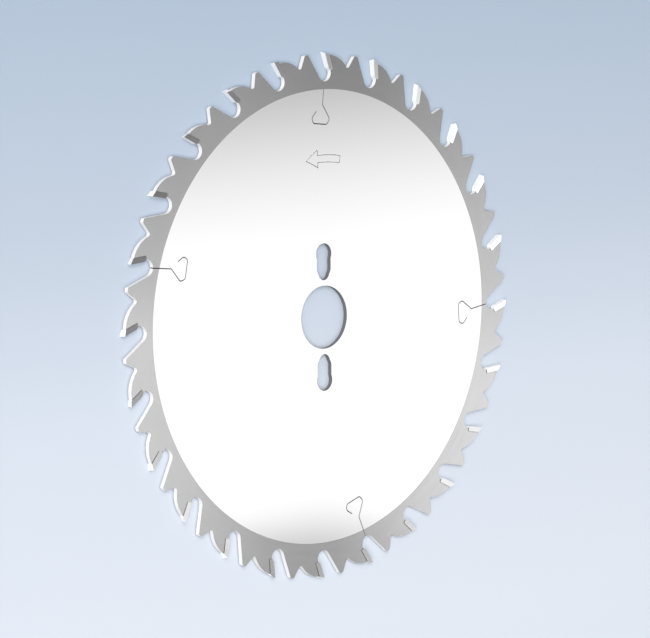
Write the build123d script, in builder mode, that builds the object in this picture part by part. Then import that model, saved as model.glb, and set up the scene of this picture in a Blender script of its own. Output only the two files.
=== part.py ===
from build123d import *
import os
from math import degrees, radians, sqrt, tan

# A circular saw blade with brazed carbide tips, lying flat. The origin is the middle of the bore, halfway through
# the plate, and +Z is the arbor's axis. Seen from +Z the pin holes lie on the Y axis, and the blade turns
# counter-clockwise to cut. All lengths are in millimetres and all angles in degrees.

# The blade as a whole
blade_diameter = 250
tooth_count = 24
kerf_width = 3.2
plate_thickness = 2.2
bore_diameter = 30
first_tooth_turn = 0.57

# The two pin holes: the diameter and the pitch circle of each of the three holes that run into one another
pin_hole_count = 2
inner_pin_diameter = 7
inner_pin_circle = 42
middle_pin_diameter = 9
middle_pin_circle = 46.4
outer_pin_diameter = 10
outer_pin_circle = 60

# A carbide tip. Depths are measured down its rake face from the cutting edge, and back from that face.
hook_angle = 20
top_relief_angle = 15
top_bevel_angle = 10
side_relief_down = 1
side_relief_back = 3
tip_length = 9.7
tip_thickness = 2.5
tip_chamfer_length = 1.55
tip_chamfer_depth = 0.95

# The tooth body behind a tip
shoulder_depth = 2.5
back_radius = 14.8
back_slope = 2.6
notch_radius = 1.2

# The gullet in front of a tip
gullet_depth = 13.9
gullet_radius = 3.95

# The chip limiter in front of a gullet
limiter_drop = 1.05
limiter_front_lean = 35.3
limiter_back_lean = 21.3
limiter_crest_width = 2
limiter_corner_radius = 0.8

# The expansion slots: the teeth whose gullets they run from, and the corners of their path. A corner is given
# sideways from the slots' axis, which passes just behind the gullet, and inwards from the bottom of the gullet.
# The one slot that curls forwards leaves its gullet a little nearer the tooth ahead.
slot_width = 0.5
slot_teeth = (6, 11, 19)
mirrored_slot_teeth = (0,)
slot_axis_shift = 0.6
slot_mouth_sideways = 0
mirrored_mouth_sideways = 0.8
slot_kink = (2.0, 10.85)
slot_curl = ((-2.55, 17.6), (-0.85, 20.25), (8.1, 19.5), (8.9, 16.85))
slot_end = (6.1, 14.0)
slot_kink_radius = 0.3
slot_curl_radius = 1.6

os.makedirs("parts", exist_ok=True)

# Places that follow from the sizes above. A tooth is drawn at the top of the blade, with its cutting edge on the
# Y axis, X pointing back along the tooth and Y away from the arbor.
blade_radius = blade_diameter / 2
crest_circle = blade_radius - limiter_drop
tooth_pitch = 360 / tooth_count
arbor = Vector(0, 0)
cutting_edge = Vector(0, blade_radius)
rake_down = Vector(0, -1).rotate(Axis.Z, hook_angle)
rake_back = rake_down.rotate(Axis.Z, 90)


def tip_point(down, back):
    """The point this far down the rake face and this far behind it."""
    return cutting_edge + rake_down * down + rake_back * back


def upper_crossing(point, upwards, centre, radius):
    """The higher of the two points where the line through a point crosses a circle."""
    along = (centre - point).dot(upwards)
    aside_squared = (centre - point).length ** 2 - along**2
    return point + upwards * (along + sqrt(radius**2 - aside_squared))


def turn_to_previous_tooth(point):
    """The same point on the tooth ahead, one pitch counter-clockwise."""
    return point.rotate(Axis.Z, tooth_pitch)


# The seat of a tip, and the arc of the tooth's back behind it
shoulder = tip_point(shoulder_depth, tip_thickness)
seat_corner = tip_point(tip_length, tip_thickness)
ledge_front = tip_point(tip_length, tip_chamfer_depth)
back_centre = shoulder + Vector(0, -back_radius).rotate(Axis.Z, -back_slope)

# The gullet's circle passes through the front of the ledge
ledge_height = ledge_front.Y - (blade_radius - gullet_depth + gullet_radius)
gullet_centre = ledge_front - Vector(sqrt(gullet_radius**2 - ledge_height**2), ledge_height)
gullet_bottom = gullet_centre - Vector(0, gullet_radius)

# The limiter's front leaves the gullet as a tangent, and its back runs down to the arc of the tooth ahead
limiter_front_up = Vector(0, 1).rotate(Axis.Z, limiter_front_lean)
limiter_back_up = Vector(0, 1).rotate(Axis.Z, -limiter_back_lean)
limiter_foot = gullet_centre + Vector(-gullet_radius, 0).rotate(Axis.Z, limiter_front_lean)
crest_front = upper_crossing(limiter_foot, limiter_front_up, arbor, crest_circle)
crest_back = crest_front.rotate(Axis.Z, degrees(limiter_crest_width / crest_circle))
shoulder_ahead = turn_to_previous_tooth(shoulder)
back_centre_ahead = turn_to_previous_tooth(back_centre)
notch = upper_crossing(crest_back, limiter_back_up, back_centre_ahead, back_radius)

# One gap of the toothed edge, from the back of the tooth ahead to the seat of this tooth. It is closed above the
# teeth, where it overlaps the next gap.
with BuildSketch() as tooth_gap:
    with BuildLine():
        RadiusArc(shoulder_ahead, notch, back_radius)
        Polyline(notch, crest_back, crest_front, limiter_foot)
        ThreePointArc(limiter_foot, gullet_bottom, ledge_front)
        Polyline(
            ledge_front,
            seat_corner,
            tip_point(-tip_thickness, tip_thickness),
            turn_to_previous_tooth(tip_point(-tip_thickness, 0)),
            shoulder_ahead,
        )
    make_face()
    fillet(tooth_gap.vertices().sort_by_distance(notch)[0], notch_radius)
    fillet(tooth_gap.vertices().sort_by_distance(crest_back)[0], limiter_corner_radius)
    fillet(tooth_gap.vertices().sort_by_distance(crest_front)[0], limiter_corner_radius)

# A pin hole, on the +Y side of the bore
with BuildSketch() as pin_hole:
    with Locations((0, inner_pin_circle / 2)):
        Circle(inner_pin_diameter / 2)
    with Locations((0, middle_pin_circle / 2)):
        Circle(middle_pin_diameter / 2)
        Rectangle(
            middle_pin_diameter,
            (outer_pin_circle - middle_pin_circle) / 2,
            align=(Align.CENTER, Align.MIN),
        )
    with Locations((0, outer_pin_circle / 2)):
        Circle(outer_pin_diameter / 2)


def slot_point(corner, side):
    """A corner of an expansion slot that curls backwards, side 1, or forwards, side -1."""
    sideways, inwards = corner
    return gullet_bottom + Vector(slot_axis_shift + side * sideways, -inwards)


def expansion_slot(side, mouth_sideways):
    """The outline of one expansion slot, which starts inside the open gullet."""
    mouth = slot_point((mouth_sideways, -gullet_radius / 4), side)
    corners = [slot_point(corner, side) for corner in (slot_kink, *slot_curl, slot_end)]
    radii = [slot_kink_radius] + [slot_curl_radius] * len(slot_curl)
    with BuildSketch() as slot:
        with BuildLine():
            FilletPolyline(mouth, *corners, radius=radii)
        trace(line_width=slot_width)
        with Locations(corners[-1]):
            Circle(slot_width / 2)
    return slot.sketch


with BuildPart() as saw_plate:
    with BuildSketch(Plane.XY.offset(-plate_thickness / 2)):
        Circle(blade_radius)
        with PolarLocations(0, tooth_count, start_angle=-first_tooth_turn):
            add(tooth_gap.sketch, mode=Mode.SUBTRACT)
        with PolarLocations(0, pin_hole_count):
            add(pin_hole.sketch, mode=Mode.SUBTRACT)
        Circle(bore_diameter / 2, mode=Mode.SUBTRACT)
        for teeth, side, mouth_sideways in (
            (slot_teeth, 1, slot_mouth_sideways),
            (mirrored_slot_teeth, -1, mirrored_mouth_sideways),
        ):
            for tooth in teeth:
                turn = -first_tooth_turn - tooth * tooth_pitch
                add(expansion_slot(side, mouth_sideways), rotation=turn, mode=Mode.SUBTRACT)
    extrude(amount=plate_thickness)
saw_plate.part.label = "saw_plate"
export_step(saw_plate.part, "parts/saw_plate.step")


def relieved_side(side):
    """The plane of a tip's side face, which draws in below and behind the cutting edge."""
    corner = cutting_edge + Vector(0, 0, side * kerf_width / 2)
    draw_in = rake_down * tan(radians(side_relief_down)) + rake_back * tan(radians(side_relief_back))
    return Plane(corner, z_dir=Vector(0, 0, side) + draw_in)


def top_land(high_side):
    """The plane of a tip's top, ground off towards its back and away from its high side."""
    corner = cutting_edge + Vector(0, 0, high_side * kerf_width / 2)
    bevelled = Vector(0, 1).rotate(Axis.X, -high_side * top_bevel_angle)
    return Plane(corner, z_dir=bevelled.rotate(Axis.Z, -top_relief_angle))


def ground_tip(high_side):
    """A tip in the place where the teeth are drawn, with its top highest towards +Z, 1, or -Z, -1."""
    with BuildPart() as tip:
        with BuildSketch(Plane.XY.offset(-kerf_width / 2)):
            with BuildLine():
                Polyline(
                    cutting_edge,
                    tip_point(tip_length - tip_chamfer_length, 0),
                    ledge_front,
                    seat_corner,
                    tip_point(0, tip_thickness),
                    close=True,
                )
            make_face()
        extrude(amount=kerf_width)
        for plane in (top_land(high_side), relieved_side(1), relieved_side(-1)):
            split(bisect_by=plane, keep=Keep.BOTTOM)
    return tip.part


# The tips are numbered clockwise from the top, and their bevels alternate
bevelled_tips = (ground_tip(-1), ground_tip(1))
for tooth in range(tooth_count):
    with BuildPart() as carbide_tip:
        add(bevelled_tips[tooth % 2], rotation=(0, 0, -first_tooth_turn - tooth * tooth_pitch))
    carbide_tip.part.label = f"carbide_tip_{tooth + 1:02d}"
    export_step(carbide_tip.part, f"parts/{carbide_tip.part.label}.step")
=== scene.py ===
"""The looks of a circular saw blade with brazed carbide tips, which lies flat on a pale floor.

The script loads the blade's frame, gives the plate and the tips their finishes, adds the braze
between them, and sets up the camera, the light and the floor. Lengths are in millimetres and
angles in degrees, except where a docstring says otherwise, and colours are linear.
"""

import logging
import math
from collections.abc import Callable
from dataclasses import dataclass
from enum import Enum

import bpy
from mathutils import Color, Matrix, Quaternion, Vector


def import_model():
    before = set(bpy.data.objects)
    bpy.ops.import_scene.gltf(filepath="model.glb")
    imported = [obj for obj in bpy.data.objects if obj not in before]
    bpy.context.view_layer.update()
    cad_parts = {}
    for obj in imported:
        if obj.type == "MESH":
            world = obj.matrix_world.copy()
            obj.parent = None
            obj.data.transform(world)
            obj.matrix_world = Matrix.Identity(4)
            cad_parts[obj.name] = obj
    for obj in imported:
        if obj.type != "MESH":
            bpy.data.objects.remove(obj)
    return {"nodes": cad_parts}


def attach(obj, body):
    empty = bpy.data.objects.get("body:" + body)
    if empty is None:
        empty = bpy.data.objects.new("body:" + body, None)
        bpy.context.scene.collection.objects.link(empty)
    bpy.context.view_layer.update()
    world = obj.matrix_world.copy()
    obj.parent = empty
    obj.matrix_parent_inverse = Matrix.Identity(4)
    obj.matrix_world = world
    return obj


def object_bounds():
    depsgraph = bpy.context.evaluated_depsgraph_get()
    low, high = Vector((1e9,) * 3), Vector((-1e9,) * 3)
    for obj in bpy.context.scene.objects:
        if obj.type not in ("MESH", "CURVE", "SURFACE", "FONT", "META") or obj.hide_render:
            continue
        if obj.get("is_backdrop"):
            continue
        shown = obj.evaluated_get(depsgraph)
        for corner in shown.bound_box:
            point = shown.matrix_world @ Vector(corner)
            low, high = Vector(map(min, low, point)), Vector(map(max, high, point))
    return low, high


LOG = logging.getLogger("saw_blade")
MM = 0.001
PER_METRE = 1000.0
WHITE = (1.0, 1.0, 1.0)

Colour = tuple[float, float, float]
Span = tuple[float, float]
Stops = list[tuple[float, Colour]]


class Finish(Enum):
    """The record's material slots."""

    PLATE = "saw_plate"
    CARBIDE = "carbide_tip"
    BRAZE = "braze"


class Maths(Enum):
    """What a Math node can work out."""

    ABSOLUTE = "ABSOLUTE"
    ADD = "ADD"
    ARC_TANGENT = "ARCTAN2"
    COSINE = "COSINE"
    DIVIDE = "DIVIDE"
    FLOORED_MODULO = "FLOORED_MODULO"
    GREATER_THAN = "GREATER_THAN"
    GREATEST = "MAXIMUM"
    LESS_THAN = "LESS_THAN"
    MULTIPLY = "MULTIPLY"
    SINE = "SINE"
    SQUARE_ROOT = "SQRT"
    SUBTRACT = "SUBTRACT"


class Part(Enum):
    """The parts of a mesh that are selected in edit mode."""

    CORNER = "VERT"
    EDGE = "EDGE"


def screen_colour(red: int, green: int, blue: int) -> Colour:
    """The linear colour of three sRGB levels from 0 to 255."""
    colour = Color((red / 255, green / 255, blue / 255)).from_srgb_to_scene_linear()
    return colour.r, colour.g, colour.b


class Value:
    """What a shader node gives out. Python's operators on it add Math nodes."""

    def __init__(self, graph: "Graph", socket: bpy.types.NodeSocket) -> None:
        """Keeps the socket and the graph that it is in."""
        self.graph = graph
        self.socket = socket

    def __add__(self, other: "Value | float") -> "Value":
        """The sum."""
        return self.graph.maths(Maths.ADD, self, other)

    def __radd__(self, other: float) -> "Value":
        """The sum, with the number first."""
        return self.graph.maths(Maths.ADD, other, self)

    def __sub__(self, other: "Value | float") -> "Value":
        """The difference."""
        return self.graph.maths(Maths.SUBTRACT, self, other)

    def __rsub__(self, other: float) -> "Value":
        """The difference, with the number first."""
        return self.graph.maths(Maths.SUBTRACT, other, self)

    def __mul__(self, other: "Value | float") -> "Value":
        """The product."""
        return self.graph.maths(Maths.MULTIPLY, self, other)

    def __rmul__(self, other: float) -> "Value":
        """The product, with the number first."""
        return self.graph.maths(Maths.MULTIPLY, other, self)

    def __truediv__(self, other: "Value | float") -> "Value":
        """The quotient."""
        return self.graph.maths(Maths.DIVIDE, self, other)

    def __rtruediv__(self, other: float) -> "Value":
        """The quotient, with the number first."""
        return self.graph.maths(Maths.DIVIDE, other, self)

    def __gt__(self, other: "Value | float") -> "Value":
        """1 where this is greater, and 0 elsewhere."""
        return self.graph.maths(Maths.GREATER_THAN, self, other)

    def __lt__(self, other: "Value | float") -> "Value":
        """1 where this is less, and 0 elsewhere."""
        return self.graph.maths(Maths.LESS_THAN, self, other)

    def do(self, operation: Maths, other: "Value | float" = 0.0) -> "Value":
        """The result of an operation that has no operator."""
        return self.graph.maths(operation, self, other)

    def rise(self, low: float, high: float) -> "Value":
        """Rises smoothly from 0 to 1, or falls where the low number is the greater of the two.

        Args:
            low: The number at which it is still 0.
            high: The number from which it is 1.

        Returns:
            The share.
        """
        return self.graph.value(
            "ShaderNodeMapRange",
            {"interpolation_type": "SMOOTHSTEP"},
            {"Value": self, "From Min": low, "From Max": high},
        )

    def spread(self, low: "Value | float", high: "Value | float") -> "Value":
        """This value, which runs from 0 to 1, made to run from the low value to the high one."""
        return self * (high - low) + low


Point = tuple[Value, Value, Value]
Settings = dict[str, str | Stops]
Inputs = dict[str | int, Value | Colour | float]


@dataclass(frozen=True)
class Grain:
    """The grain of a noise: its size along each of three values, and how many layers it has."""

    first: float
    second: float
    third: float
    layers: int


class Graph:
    """The nodes of one material, or of the world."""

    def __init__(self, tree: bpy.types.NodeTree) -> None:
        """Starts with an empty tree."""
        self.tree = tree
        tree.nodes.clear()

    def add(
        self, kind: str, settings: Settings | None = None, inputs: Inputs | None = None
    ) -> bpy.types.Node:
        """Adds one node.

        Args:
            kind: The node's type.
            settings: Its own properties, which are set before its sockets. A ramp's stops are a
                list of places with colours.
            inputs: A number, a colour or a link for each socket that has one.

        Returns:
            The node.
        """
        node = self.tree.nodes.new(kind)
        for name, setting in (settings or {}).items():
            if isinstance(setting, list):
                set_stops(node.color_ramp, setting)
            else:
                setattr(node, name, setting)
        for name, given in (inputs or {}).items():
            socket = node.inputs[name]
            if isinstance(given, Value):
                self.tree.links.new(given.socket, socket)
            elif isinstance(given, tuple):
                socket.default_value = (*given, 1.0)
            else:
                socket.default_value = given
        return node

    def value(
        self,
        kind: str,
        settings: Settings | None = None,
        inputs: Inputs | None = None,
        output: str | int = 0,
    ) -> Value:
        """Adds one node, as add does, and hands back the chosen one of its outputs."""
        return Value(self, self.add(kind, settings, inputs).outputs[output])

    def maths(self, operation: Maths, first: Value | float, second: Value | float) -> Value:
        """Adds a Math node. Some operations leave its second operand alone."""
        return self.value("ShaderNodeMath", {"operation": operation.value}, {0: first, 1: second})

    def mix(self, factor: Value, first: Value | Colour, second: Value | Colour) -> Value:
        """Blends two colours.

        Args:
            factor: 0 for all of the first colour, and 1 for all of the second.
            first: The first colour.
            second: The second colour.

        Returns:
            The blended colour.
        """
        inputs: Inputs = {"Factor": factor, "A": first, "B": second}
        return self.value("ShaderNodeMix", {"data_type": "RGBA"}, inputs, "Result")

    def parts(self, vector: Value) -> Point:
        """The three parts of a vector."""
        outputs = self.add("ShaderNodeSeparateXYZ", inputs={"Vector": vector}).outputs
        return Value(self, outputs["X"]), Value(self, outputs["Y"]), Value(self, outputs["Z"])

    def place(self) -> Point:
        """Where a point of the surface is, in millimetres."""
        x, y, z = self.parts(self.value("ShaderNodeTexCoord", output="Object"))
        return x * PER_METRE, y * PER_METRE, z * PER_METRE

    def noise(self, point: Point, grain: Grain) -> Value:
        """Makes noise around a half.

        Args:
            point: The three values that it follows.
            grain: Its grain along them.

        Returns:
            A value between 0 and 1.
        """
        first, second, third = point
        scaled = self.value(
            "ShaderNodeCombineXYZ",
            inputs={"X": first / grain.first, "Y": second / grain.second, "Z": third / grain.third},
        )
        inputs: Inputs = {"Vector": scaled, "Scale": 1.0, "Detail": grain.layers}
        return self.value("ShaderNodeTexNoise", inputs=inputs)

    def relief(self, height: Value) -> Value:
        """The normal of a surface with this height, in millimetres."""
        return self.value("ShaderNodeBump", inputs={"Height": height, "Distance": MM})

    def surface(self, **inputs: Value | float) -> None:
        """Ends a material in one Principled surface.

        Args:
            inputs: The surface's inputs, with _ in place of a space.
        """
        named: Inputs = {name.replace("_", " "): given for name, given in inputs.items()}
        shader = self.value("ShaderNodeBsdfPrincipled", inputs=named)
        self.add("ShaderNodeOutputMaterial", inputs={"Surface": shader})


def set_stops(ramp: bpy.types.ColorRamp, stops: Stops) -> None:
    """Gives a colour ramp its stops.

    Args:
        ramp: The ramp, as a new node has it.
        stops: Two or more places from 0 to 1, each with a colour.
    """
    while len(ramp.elements) < len(stops):
        ramp.elements.new(1.0)
    for element, (place, colour) in zip(ramp.elements, stops, strict=True):
        element.position = place
        element.color = (*colour, 1.0)


def new_material(name: str) -> tuple[bpy.types.Material, Graph]:
    """Makes a material.

    Args:
        name: Its name.

    Returns:
        The material, and its graph with nothing in it.
    """
    material = bpy.data.materials.new(name)
    material.use_nodes = True
    return material, Graph(material.node_tree)


@dataclass(frozen=True)
class Blade:
    """The sizes of the blade that its finishes and its braze follow."""

    radius: float = 125.0
    tooth_count: int = 24
    first_tooth_turn: float = 0.57
    kerf_half: float = 1.6
    plate_half: float = 1.1
    hook_angle: float = 20.0
    side_relief_down: float = 1.0
    side_relief_back: float = 3.0
    shoulder_depth: float = 2.5
    tip_length: float = 9.7
    tip_thickness: float = 2.5
    tip_chamfer_depth: float = 0.95

    @property
    def pitch(self) -> float:
        """The angle from one tooth to the next."""
        return 360 / self.tooth_count

    def turn(self, tooth: int) -> float:
        """The angle of a tooth, clockwise from the top."""
        return self.first_tooth_turn + tooth * self.pitch

    def tip_point(self, down: float, back: float) -> Vector:
        """Places a point on the tip of a tooth at the top of the blade.

        Args:
            down: How far it is down the rake face from the cutting edge.
            back: How far it is behind the rake face.

        Returns:
            The point.
        """
        hook = math.radians(self.hook_angle)
        rake_down = Vector((math.sin(hook), -math.cos(hook), 0))
        rake_back = Vector((math.cos(hook), math.sin(hook), 0))
        return Vector((0, self.radius, 0)) + rake_down * down + rake_back * back


@dataclass(frozen=True)
class ToothPlace:
    """Where a point of the surface is on its own tooth, as shader values."""

    radius: Value
    turn: Value
    down: Value
    back: Value

    @classmethod
    def of(cls, blade: Blade, x: Value, y: Value) -> "ToothPlace":
        """Finds the place on the nearest tooth.

        Args:
            blade: The blade's sizes.
            x: The point's place across the blade.
            y: The point's place up the blade.

        Returns:
            The distance from the arbor, the clockwise turn in radians, and the distances down and
            behind the rake face.
        """
        radius = (x * x + y * y).do(Maths.SQUARE_ROOT)
        turn = x.do(Maths.ARC_TANGENT, y)
        pitch = math.radians(blade.pitch)
        first = math.radians(blade.first_tooth_turn)
        # What belongs to a tooth starts a third of a pitch ahead of its cutting edge
        ahead = pitch / 3
        past = (turn - (first - ahead)).do(Maths.FLOORED_MODULO, pitch) - ahead
        aside = radius * past.do(Maths.SINE)
        above = radius * past.do(Maths.COSINE) - blade.radius
        hook = math.radians(blade.hook_angle)
        down = aside * math.sin(hook) - above * math.cos(hook)
        back = aside * math.cos(hook) + above * math.sin(hook)
        return cls(radius, turn, down, back)


@dataclass(frozen=True)
class RotationArrow:
    """A plain arrow that shows which way the blade turns, in thin lines around the arbor."""

    radius: float = 75.0
    half_length: float = 11.0
    head_length: float = 7.5
    head_half: float = 4.2
    shaft_half: float = 1.7
    line_half: float = 0.16

    def lines(self, place: ToothPlace) -> Value:
        """Draws the arrow.

        Args:
            place: The point of the surface.

        Returns:
            1 on the arrow's lines, and 0 elsewhere.
        """
        along = place.turn * self.radius + self.half_length
        aside = (place.radius - self.radius).do(Maths.ABSOLUTE)
        outer = self.within(along, aside, self.line_half)
        return outer - self.within(along, aside, -self.line_half)

    def within(self, along: Value, aside: Value, margin: float) -> Value:
        """Tells what lies inside the arrow.

        Args:
            along: The distance behind the arrow's point.
            aside: The distance from its middle line.
            margin: How far the arrow is made larger all round.

        Returns:
            1 inside, and 0 outside.
        """
        slope = self.head_half / self.head_length
        edge = along * slope + margin * math.hypot(1, slope)
        head = (aside < edge) * (along < self.head_length + margin)
        start = self.head_length / 2
        end = 2 * self.half_length + margin
        shaft = (aside < self.shaft_half + margin) * (along > start) * (along < end)
        return head.do(Maths.GREATEST, shaft)


@dataclass(frozen=True)
class GroundSteel:
    """The saw plate's finish: a polished disc inside a ring-ground rim, with cut walls.

    The walls of the holes are painted darker than those of the teeth as a dark reflection, and
    those of the slots as shade in the narrow slots.
    """

    blade: Blade
    arrow: RotationArrow
    # Where one surface ends and the next begins
    disc_radius: float = 107.4
    disc_blur: float = 0.06
    holes_radius: float = 40.0
    slots_radius: float = 111.05
    wall_margin: float = 0.01
    # The colours
    disc: Colour = (0.90, 0.90, 0.90)
    engraved: Colour = (0.30, 0.30, 0.31)
    rim: Colour = (0.456, 0.456, 0.456)
    rim_worn: Colour = (0.428, 0.428, 0.428)
    cut_edge: Colour = (0.94, 0.94, 0.94)
    cut_shaded: Colour = (0.86, 0.86, 0.86)
    # Painted dark reflection: the walls of the holes are given a dark grey
    hole_wall_painted_reflection: Colour = (0.24, 0.24, 0.245)
    # Painted shade: the walls of the narrow slots are given a dark grey
    slot_wall_painted_shade: Colour = (0.36, 0.36, 0.36)
    # The grains. Those of the rings and of their bands are shares of the radius, and millimetres
    # outwards. The others are millimetres along X, Y and Z.
    rings: Grain = Grain(1 / 6, 1 / 6, 0.22, layers=3)
    bands: Grain = Grain(1 / 6, 1 / 6, 3.08, layers=2)
    patches: Grain = Grain(9.0, 9.0, 9.0, layers=3)
    streaks: Grain = Grain(0.09, 0.09, 4.0, layers=2)
    # The spans of noise over which a colour changes
    rim_wear: Span = (0.3, 0.75)
    cut_shading: Span = (0.35, 0.75)
    # The spans of roughness, and what the bands, the patches and the arrow add to it
    disc_rough: Span = (0.030, 0.044)
    patches_rough: Span = (-0.003, 0.003)
    rim_rough: Span = (0.131, 0.151)
    bands_rough: Span = (-0.004, 0.004)
    wall_rough: Span = (0.36, 0.5)
    engraved_rough: float = 0.25
    # The heights of the grain, and the depth of the arrow
    rim_relief: float = 0.0016
    disc_relief: float = 0.0003
    wall_relief: float = 0.006
    engraved_depth: float = 0.004
    # How metallic the walls are, and how far and which way the grain draws reflections out
    wall_metallic: float = 0.12
    hole_metallic: float = 0.52
    anisotropy: float = 1.0
    grain_turn: float = 0.25

    def material(self) -> bpy.types.Material:
        """Makes the material.

        Returns:
            The finish as a material.
        """
        material, graph = new_material("ground_steel")
        x, y, z = point = graph.place()
        place = ToothPlace.of(self.blade, x, y)
        around = (x / place.radius, y / place.radius, place.radius)
        rings = graph.noise(around, self.rings)
        bands = graph.noise(around, self.bands)
        patches = graph.noise(point, self.patches)
        streaks = graph.noise(point, self.streaks)
        wall = z.do(Maths.ABSOLUTE) < self.blade.plate_half - self.wall_margin
        outside, inside = self.disc_radius + self.disc_blur, self.disc_radius - self.disc_blur
        disc = place.radius.rise(outside, inside)
        arrow = self.arrow.lines(place) * (z > 0)
        hole = place.radius < self.holes_radius
        slot = place.radius < self.slots_radius

        disc_colour = graph.mix(arrow, self.disc, self.engraved)
        worn = ((bands + rings) / 2).rise(*self.rim_wear)
        face_colour = graph.mix(disc, graph.mix(worn, self.rim, self.rim_worn), disc_colour)
        shaded = streaks.rise(*self.cut_shading)
        cut_colour = graph.mix(shaded, self.cut_edge, self.cut_shaded)
        # Painted shade on the walls of the slots
        slot_colour = graph.mix(slot, cut_colour, self.slot_wall_painted_shade)
        # Painted dark reflection on the walls of the holes
        wall_colour = graph.mix(hole, slot_colour, self.hole_wall_painted_reflection)

        disc_rough = rings.spread(*self.disc_rough) + patches.spread(*self.patches_rough)
        rim_rough = rings.spread(*self.rim_rough) + bands.spread(*self.bands_rough)
        face_rough = disc.spread(rim_rough, disc_rough) + arrow * self.engraved_rough
        ground_relief = rings * disc.spread(self.rim_relief, self.disc_relief)
        face_relief = ground_relief - arrow * self.engraved_depth
        graph.surface(
            Base_Color=graph.mix(wall, face_colour, wall_colour),
            Metallic=wall.spread(1.0, hole.spread(self.wall_metallic, self.hole_metallic)),
            Roughness=wall.spread(face_rough, streaks.spread(*self.wall_rough)),
            Anisotropic=self.anisotropy,
            Anisotropic_Rotation=self.grain_turn,
            Normal=graph.relief(wall.spread(face_relief, streaks * self.wall_relief)),
        )
        return material


@dataclass(frozen=True)
class GroundCarbide:
    """A tip's finish: shiny ground sides, and a paler rake face and top.

    The faces at its seat are not ground and are duller. Their dark colour is partly the darker tone
    of sintered carbide and partly painted shade of the step where the tip stands proud of the
    plate.
    """

    blade: Blade
    # How far inside the side faces and the faces at the seat their finish begins
    side_margin: float = 0.015
    seat_margin: float = 0.02
    # The colours
    side: Colour = (0.77, 0.77, 0.77)
    side_worn: Colour = (0.71, 0.71, 0.715)
    edge_faces: Colour = (0.98, 0.98, 0.98)
    edge_worn: Colour = (0.92, 0.92, 0.92)
    # Partly painted shade: the faces at the seat are darker than sintered carbide alone
    unground_with_painted_shade: Colour = (0.12, 0.12, 0.125)
    # The grains of the wheel's lines, down and behind the rake face and across the kerf, and of
    # the carbide itself
    side_lines: Grain = Grain(2.5, 0.06, 0.5, layers=3)
    face_lines: Grain = Grain(1.8, 1.8, 0.05, layers=3)
    grains: Grain = Grain(0.05, 0.05, 0.05, layers=1)
    # The spans of noise over which a colour changes
    side_wear: Span = (0.35, 0.7)
    edge_wear: Span = (0.4, 0.75)
    # The spans of roughness
    side_rough: Span = (0.07, 0.11)
    edge_rough: Span = (0.32, 0.46)
    unground_rough: float = 0.5
    # The heights of the lines and of the grains
    side_relief: float = 0.0012
    edge_relief: float = 0.003
    grain_relief: float = 0.0004
    # How metallic the faces other than the sides are
    edge_metallic: float = 0.15

    def material(self) -> bpy.types.Material:
        """Makes the material.

        Returns:
            The finish as a material.
        """
        material, graph = new_material("ground_carbide")
        blade = self.blade
        x, y, z = point = graph.place()
        place = ToothPlace.of(blade, x, y)
        down_slope = math.tan(math.radians(blade.side_relief_down))
        back_slope = math.tan(math.radians(blade.side_relief_back))
        drawn_in = place.down * down_slope + place.back * back_slope
        side = z.do(Maths.ABSOLUTE) + drawn_in > blade.kerf_half - self.side_margin
        at_back = place.back > blade.tip_thickness - self.seat_margin
        at_ledge = place.down > blade.tip_length - self.seat_margin
        seated = (at_back * (place.down > blade.shoulder_depth)).do(Maths.GREATEST, at_ledge)
        own = (place.down, place.back, z)
        lines = side.spread(graph.noise(own, self.face_lines), graph.noise(own, self.side_lines))
        grains = graph.noise(point, self.grains)

        side_colour = graph.mix(lines.rise(*self.side_wear), self.side, self.side_worn)
        ground_colour = graph.mix(grains.rise(*self.edge_wear), self.edge_faces, self.edge_worn)
        # The faces at the seat get their dark colour, partly painted shade of the step
        edge_colour = graph.mix(seated, ground_colour, self.unground_with_painted_shade)
        edge_rough = seated.spread(lines.spread(*self.edge_rough), self.unground_rough)
        line_relief = lines * side.spread(self.edge_relief, self.side_relief)
        graph.surface(
            Base_Color=graph.mix(side, edge_colour, side_colour),
            Metallic=side.spread(self.edge_metallic, 1.0),
            Roughness=side.spread(edge_rough, lines.spread(*self.side_rough)),
            Normal=graph.relief(line_relief + grains * self.grain_relief),
        )
        return material


@dataclass(frozen=True)
class SilverBraze:
    """The finish of the braze: a warm metal under a matt skin in patches, painted dark all over as
    the shade in the seam between the tip and the plate.
    """

    # Painted shade: both colours are darkened as the shade in the seam between the tip and the
    # plate
    metal_in_painted_shade: Colour = (0.25, 0.23, 0.19)
    matt_skin_in_painted_shade: Colour = (0.14, 0.13, 0.11)
    skin: Grain = Grain(0.5, 0.5, 0.5, layers=3)
    grains: Grain = Grain(0.08, 0.08, 0.08, layers=2)
    dulling: Span = (0.35, 0.7)
    metallic: float = 0.9
    rough: Span = (0.28, 0.5)
    skin_relief: float = 0.02
    grain_relief: float = 0.01

    def material(self) -> bpy.types.Material:
        """Makes the material.

        Returns:
            The finish as a material.
        """
        material, graph = new_material("silver_braze")
        point = graph.place()
        skin = graph.noise(point, self.skin)
        grains = graph.noise(point, self.grains)
        # The braze's colour is painted shade
        graph.surface(
            Base_Color=graph.mix(skin.rise(*self.dulling), self.metal_in_painted_shade, self.matt_skin_in_painted_shade),
            Metallic=self.metallic,
            Roughness=grains.spread(*self.rough),
            Normal=graph.relief(grains * self.grain_relief + skin * self.skin_relief),
        )
        return material


def clear_selection() -> None:
    """Deselects every object."""
    bpy.ops.object.select_all(action="DESELECT")


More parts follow.
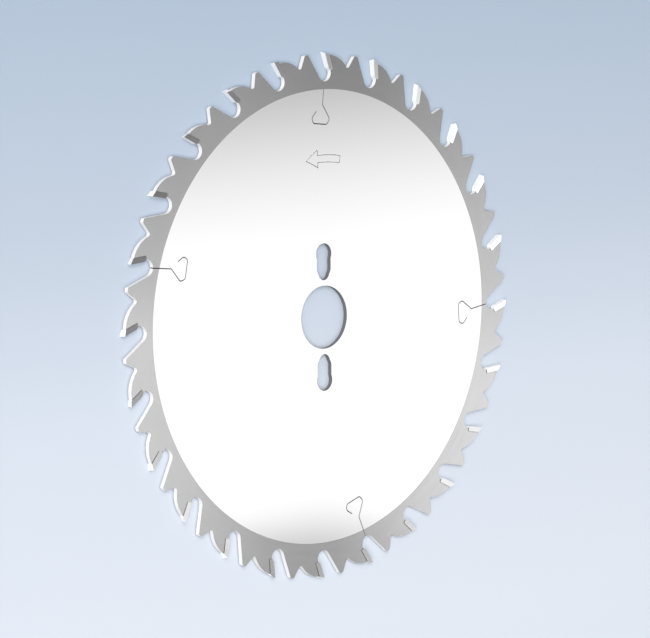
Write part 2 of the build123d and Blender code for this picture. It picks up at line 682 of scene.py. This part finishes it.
def pick(piece: bpy.types.Object, part: Part, test: Callable[[Vector], bool]) -> None:
    """Selects parts of a mesh by the places of its corners.

    Args:
        piece: The object, which is in edit mode.
        part: What is selected: corners that pass the test, or edges of which both ends pass it.
        test: Tells from a corner's place whether it passes.
    """
    bpy.ops.mesh.select_mode(type=part.value)
    bpy.ops.mesh.select_all(action="DESELECT")
    bpy.ops.object.mode_set(mode="OBJECT")
    mesh = piece.data
    passes = [test(corner.co) for corner in mesh.vertices]
    if part is Part.CORNER:
        for corner in mesh.vertices:
            corner.select = passes[corner.index]
    else:
        for edge in mesh.edges:
            edge.select = all(passes[end] for end in edge.vertices)
    bpy.ops.object.mode_set(mode="EDIT")


@dataclass(frozen=True)
class BrazeSeams:
    """The braze in the corners between the plate and its tips, on both faces of the plate."""

    blade: Blade
    material: bpy.types.Material
    # The width and height of a seam, and how much of each is sunk in the tip or in the plate
    leg: float = 0.19
    sunk: float = 0.02
    # How many pieces it has up the tip's back, around the seat's corner and along the ledge
    back_steps: int = 12
    corner_steps: int = 5
    ledge_steps: int = 3
    # What is left of its width and height at its ends
    end_share: float = 0.45
    # The hollow along its free edge, as a share of its reach, in steps and with a profile
    hollow_share: float = 0.9
    hollow_steps: int = 4
    hollow_profile: float = 0.22
    # The waves of its surface, and the finish of the mesh
    wave_length: float = 0.7
    wave_height: float = 0.03
    merge_distance: float = 0.001
    smooth_angle: float = 50.0

    def build(self) -> list[bpy.types.Object]:
        """Makes the seams of every tip, from one that is modelled.

        Returns:
            The seams, one object for each tip.
        """
        pattern = self.one_seam()
        self.roughen(pattern)
        self.set_on_tooth(pattern)
        pattern.data.materials.append(self.material)
        seams = []
        for tooth in range(self.blade.tooth_count):
            seam = pattern.copy()
            seam.data = pattern.data.copy()
            seam.name = seam.data.name = f"braze_{tooth + 1:02d}"
            turn = math.radians(-self.blade.turn(tooth))
            seam.data.transform(Matrix.Rotation(turn, 4, "Z"))
            bpy.context.scene.collection.objects.link(seam)
            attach(seam, "root")
            seams.append(seam)
        bpy.data.objects.remove(pattern)
        return seams

    def one_seam(self) -> bpy.types.Object:
        """Models the seam of one tip on one face of the plate.

        Returns:
            The seam, with the seat's corner at the origin and the tip's back along the Y axis.
        """
        run = (self.blade.tip_length - self.blade.shoulder_depth) * MM
        ledge = (self.blade.tip_thickness - self.blade.tip_chamfer_depth) * MM
        leg = self.leg * MM
        sunk = self.sunk * MM
        middle = leg / 2 - sunk
        clear_selection()
        bpy.ops.mesh.primitive_plane_add(
            size=leg, location=(middle, run, middle), rotation=(math.pi / 2, 0, 0)
        )
        seam = bpy.context.object
        bpy.ops.object.transform_apply(location=True, rotation=True, scale=True)
        bpy.ops.object.mode_set(mode="EDIT")
        bpy.ops.mesh.select_all(action="SELECT")
        self.extrude(Vector((0, -run, 0)), self.back_steps)
        bpy.ops.mesh.spin(
            steps=self.corner_steps,
            angle=-math.pi / 2,
            center=(0, 0, 0),
            axis=(0, 0, 1),
            use_normal_flip=False,
        )
        self.extrude(Vector((-ledge, 0, 0)), self.ledge_steps)
        bpy.ops.mesh.select_all(action="SELECT")
        bpy.ops.mesh.remove_doubles(threshold=self.merge_distance * MM)
        bpy.ops.mesh.normals_make_consistent(inside=False)
        self.taper_end(seam, lambda corner: corner.y > run - sunk, Vector((0, run, 0)))
        self.taper_end(seam, lambda corner: corner.x < sunk - ledge, Vector((-ledge, 0, 0)))
        self.hollow(seam)
        bpy.ops.object.mode_set(mode="OBJECT")
        return seam

    @staticmethod
    def extrude(way: Vector, steps: int) -> None:
        """Draws the selected face out along a way, in equal steps."""
        for _ in range(steps):
            bpy.ops.mesh.extrude_region_move(TRANSFORM_OT_translate={"value": way / steps})

    def taper_end(
        self, seam: bpy.types.Object, at_end: Callable[[Vector], bool], corner: Vector
    ) -> None:
        """Draws one end of the seam in towards the corner that it fills."""
        pick(seam, Part.CORNER, at_end)
        bpy.ops.transform.resize(value=(self.end_share,) * 3, center_override=corner)

    def hollow(self, seam: bpy.types.Object) -> None:
        """Rounds the free edge of the seam into a hollow between the tip and the plate.

        Args:
            seam: The seam, in edit mode.
        """
        reach = (self.leg - self.sunk) * MM
        free = reach - self.sunk * MM / 2
        pick(seam, Part.EDGE, lambda corner: min(corner.z, self.from_tip(corner)) > free)
        bpy.ops.mesh.bevel(
            offset=self.hollow_share * reach,
            segments=self.hollow_steps,
            profile=self.hollow_profile,
            affect="EDGES",
        )

    @staticmethod
    def from_tip(corner: Vector) -> float:
        """Measures along the plate's face how far a corner of the seam stands from the tip.

        Args:
            corner: The corner's place.

        Returns:
            The distance from the tip's back, from its lower end, or from where these two meet.
        """
        if corner.y >= 0:
            return corner.x
        if corner.x <= 0:
            return -corner.y
        return math.hypot(corner.x, corner.y)

    def roughen(self, seam: bpy.types.Object) -> None:
        """Gives the seam the slight waves of metal that has run and set.

        Args:
            seam: The seam, which is the active object.
        """
        waves = bpy.data.textures.new("braze_waves", "CLOUDS")
        waves.noise_scale = self.wave_length * MM
        displace = seam.modifiers.new("waves", "DISPLACE")
        displace.texture = waves
        displace.texture_coords = "LOCAL"
        displace.strength = self.wave_height * MM
        bpy.ops.object.modifier_apply(modifier=displace.name)
        bpy.ops.object.shade_smooth_by_angle(angle=math.radians(self.smooth_angle))

    def set_on_tooth(self, seam: bpy.types.Object) -> None:
        """Sets the seam on a tooth at the top, and mirrors it to the plate's other face.

        Args:
            seam: The seam, which is the active object.
        """
        corner = self.blade.tip_point(self.blade.tip_length, self.blade.tip_thickness) * MM
        corner.z = self.blade.plate_half * MM
        hook = Matrix.Rotation(math.radians(self.blade.hook_angle), 4, "Z")
        seam.data.transform(Matrix.Translation(corner) @ hook)
        mirror = seam.modifiers.new("other_face", "MIRROR")
        mirror.use_axis = (False, False, True)
        bpy.ops.object.modifier_apply(modifier=mirror.name)


@dataclass(frozen=True)
class Dressing:
    """The finish that CAD nodes get."""

    nodes: list[bpy.types.Object]
    material: bpy.types.Material
    finish: Finish

    def apply(self) -> None:
        """Puts the material in every slot of the nodes."""
        for node in self.nodes:
            for slot in node.material_slots:
                slot.material = self.material


@dataclass(frozen=True)
class Floor:
    """The pale floor that the blade lies on, which is bluest at the top of the picture.

    Its height and its size are in metres. Its shades are places along Y, each with a colour.
    """

    height: float
    size: float = 12.0
    roughness: float = 0.9
    shades: tuple[tuple[float, Colour], ...] = (
        (-150.0, screen_colour(205, 213, 225)),
        (-40.0, screen_colour(197, 206, 220)),
        (49.0, screen_colour(177, 189, 206)),
        (150.0, screen_colour(161, 177, 196)),
    )

    def build(self) -> bpy.types.Object:
        """Lays the floor.

        Returns:
            The floor.
        """
        clear_selection()
        bpy.ops.mesh.primitive_plane_add(size=self.size, location=(0, 0, self.height))
        floor = bpy.context.object
        floor.name = "floor"
        bpy.ops.object.transform_apply(location=True, rotation=True, scale=True)
        floor.data.materials.append(self.material())
        floor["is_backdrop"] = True
        return floor

    def material(self) -> bpy.types.Material:
        """Makes a matt material of the shades.

        Returns:
            The material.
        """
        material, graph = new_material("floor_paper")
        _, y, _ = graph.place()
        low = self.shades[0][0]
        length = self.shades[-1][0] - low
        stops = [((place - low) / length, colour) for place, colour in self.shades]
        fade = graph.value("ShaderNodeValToRGB", {"stops": stops}, {"Fac": (y - low) / length})
        graph.surface(Base_Color=fade, Roughness=self.roughness, Specular_IOR_Level=0.0)
        return material


@dataclass(frozen=True)
class SoftShape:
    """A soft oval in the room, which shines, or is a dark card.

    It is placed by a direction's parts along X and Y, and its half width and half height are
    measured in them too. Its edge is where it ends, as the square of a share of these halves.
    """

    x: float
    y: float
    width: float
    height: float
    turn: float
    softness: float
    strength: float
    edge: float = 1.6

    def over(self, x: Value, y: Value) -> Value:
        """Shades the oval in.

        Args:
            x: A direction's part along X.
            y: Its part along Y.

        Returns:
            The oval's strength in its middle, falling softly to 0 around it.
        """
        cosine = math.cos(math.radians(self.turn))
        sine = math.sin(math.radians(self.turn))
        along = ((x - self.x) * cosine + (y - self.y) * sine) / self.width
        across = ((y - self.y) * cosine - (x - self.x) * sine) / self.height
        share = (along * along + across * across).rise(self.edge, self.edge - self.softness)
        return share * self.strength


@dataclass(frozen=True)
class Room:
    """The light of the room: pale walls, and overhead a ceiling with cards and screens."""

    # Strengths of light: the walls and what a band around them adds, away from the window and by
    # it, then the ceiling and the cards beyond its far edge and its near one
    wall: float = 0.28
    wall_shine: float = 0.12
    window_shine: float = 0.42
    ceiling: float = 1.18
    far_card: float = 0.02
    near_card: float = 0.05
    # The ceiling's edges, as spans of a direction's part along Y. The far one runs aslant, and is
    # where its span says at the middle that is given along X.
    far_edge: Span = (0.0054, -0.1016)
    far_slope: float = 0.139
    far_middle: float = 0.69
    near_edge: Span = (-0.2496, -0.2966)
    # The window's way along X and Y, and the spans over which the light rises towards it and the
    # band begins and ends
    window_x: float = -0.6
    window_y: float = 0.8
    window_span: Span = (-0.9, 0.9)
    band_foot: Span = (0.05, 0.42)
    band_top: Span = (1.15, 0.72)
    # The spans over which the walls give way to what is overhead
    overhead_left: Span = (0.02, 0.26)
    overhead_low: Span = (0.38, 0.56)
    overhead_far: Span = (0.48, 0.26)
    overhead_near: Span = (-0.66, -0.46)
    # The dark cards on the ceiling
    dark_bar: SoftShape = SoftShape(0.875, -0.258, 0.224, 0.067, -11.6, 0.28, 0.55)
    small_card: SoftShape = SoftShape(0.589, -0.165, 0.0173, 0.0429, 33.4, 0.92, 0.92)
    side_card: SoftShape = SoftShape(0.776, -0.057, 0.020, 0.0324, 0.0, 1.39, 0.37)
    # What shines
    right_screen: SoftShape = SoftShape(0.846, -0.205, 0.143, 0.100, 7.9, 1.23, 2.18)
    left_screen: SoftShape = SoftShape(0.307, -0.300, 0.269, 0.231, 3.1, 1.11, 2.34)
    small_screen: SoftShape = SoftShape(0.656, -0.206, 0.028, 0.018, 0.0, 1.48, 0.88)
    far_glow: SoftShape = SoftShape(0.711, -0.008, 0.0864, 0.011, 14.0, 1.49, 0.265)

    def build(self) -> None:
        """Makes the world."""
        world = bpy.data.worlds.new("room")
        world.use_nodes = True
        bpy.context.scene.world = world
        graph = Graph(world.node_tree)
        x, y, z = graph.parts(graph.value("ShaderNodeTexCoord", output="Generated"))
        overhead = x.rise(*self.overhead_left) * z.rise(*self.overhead_low)
        overhead = overhead * y.rise(*self.overhead_far) * y.rise(*self.overhead_near)
        level = overhead.spread(self.around(x, y, z), self.above(x, y))
        level = level + self.left_screen.over(x, y) * (z > 0)
        background = graph.value("ShaderNodeBackground", inputs={"Color": WHITE, "Strength": level})
        graph.add("ShaderNodeOutputWorld", inputs={"Surface": background})

    def above(self, x: Value, y: Value) -> Value:
        """Lights the ceiling, with its cards and screens.

        Args:
            x: A direction's part along X.
            y: Its part along Y.

        Returns:
            The strength of the light overhead.
        """
        aslant = y - (x - self.far_middle) * self.far_slope
        level = aslant.rise(*self.far_edge).spread(self.far_card, self.ceiling)
        for card in (self.dark_bar, self.small_card, self.side_card):
            level = level * (1 - card.over(x, y))
        level = y.rise(*self.near_edge).spread(level, self.near_card)
        for screen in (self.right_screen, self.small_screen, self.far_glow):
            level = level + screen.over(x, y)
        return level

    def around(self, x: Value, y: Value, z: Value) -> Value:
        """Lights the walls.

        Args:
            x: A direction's part along X.
            y: Its part along Y.
            z: Its part along Z.

        Returns:
            The strength of the light all round.
        """
        window = (y * self.window_y + x * self.window_x).rise(*self.window_span)
        band = z.rise(*self.band_foot) * z.rise(*self.band_top)
        return band * window.spread(self.wall_shine, self.window_shine) + self.wall


@dataclass(frozen=True)
class Lamp:
    """One soft area lamp that is aimed at the blade. Its place and its size are in metres."""

    name: str
    place: Vector
    size: float
    watts: float
    colour: Colour = (1.0, 0.965, 0.91)

    def build(self) -> None:
        """Hangs the lamp, which reflections don't show."""
        data = bpy.data.lights.new(self.name, "AREA")
        data.shape = "DISK"
        data.size = self.size
        data.energy = self.watts
        data.color = self.colour
        lamp = bpy.data.objects.new(self.name, data)
        lamp.location = self.place
        lamp.rotation_mode = "QUATERNION"
        lamp.rotation_quaternion = (-self.place).to_track_quat("-Z", "Y")
        lamp.visible_glossy = False
        bpy.context.scene.collection.objects.link(lamp)


@dataclass(frozen=True)
class Viewpoint:
    """The camera, which looks down on the blade from the left as the photograph does.

    Its place and the limits of its sight are in metres.
    """

    place: Vector = Vector((-1.211074, 0.192424, 1.260896))
    aim: Quaternion = Quaternion((0.926072, -0.049612, -0.373289, -0.024172))
    lens: float = 206.4491
    sensor: float = 36.0
    near: float = 0.05
    far: float = 50.0

    def build(self) -> None:
        """Makes the camera the scene's own."""
        data = bpy.data.cameras.new("camera")
        data.lens = self.lens
        data.sensor_width = self.sensor
        data.clip_start = self.near
        data.clip_end = self.far
        camera = bpy.data.objects.new("camera", data)
        camera.location = self.place
        camera.rotation_mode = "QUATERNION"
        camera.rotation_quaternion = self.aim
        bpy.context.scene.collection.objects.link(camera)
        bpy.context.scene.camera = camera


def report(piece: bpy.types.Object) -> None:
    """Reports a finished piece with its material and the number of its faces."""
    faces = len(piece.data.polygons)
    LOG.info("%s: %s, %d faces", piece.name, piece.active_material.name, faces)


def main() -> None:
    """Loads the frame, dresses it piece by piece, and adds the braze, the light and the floor."""
    logging.basicConfig(level=logging.INFO, format="%(message)s")
    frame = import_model()
    cad_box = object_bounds()
    bpy.context.scene.view_settings.view_transform = "Standard"
    blade = Blade()
    nodes = frame["nodes"]
    plate = nodes["saw_plate"]
    tips = [node for name, node in sorted(nodes.items()) if name.startswith("carbide_tip")]
    Dressing([plate], GroundSteel(blade, RotationArrow()).material(), Finish.PLATE).apply()
    Dressing(tips, GroundCarbide(blade).material(), Finish.CARBIDE).apply()
    seams = BrazeSeams(blade, SilverBraze().material()).build()
    Viewpoint().build()
    Room().build()
    Lamp("key_lamp", place=Vector((-4.2, 3.4, 5.9)), size=3.4, watts=345.0).build()
    Lamp("side_lamp", place=Vector((-6.0, -1.2, 5.1)), size=3.0, watts=280.0).build()
    floor = Floor(cad_box[0].z).build()
    for piece in (plate, *tips, *seams, floor):
        report(piece)


if __name__ == "__main__":
    main()
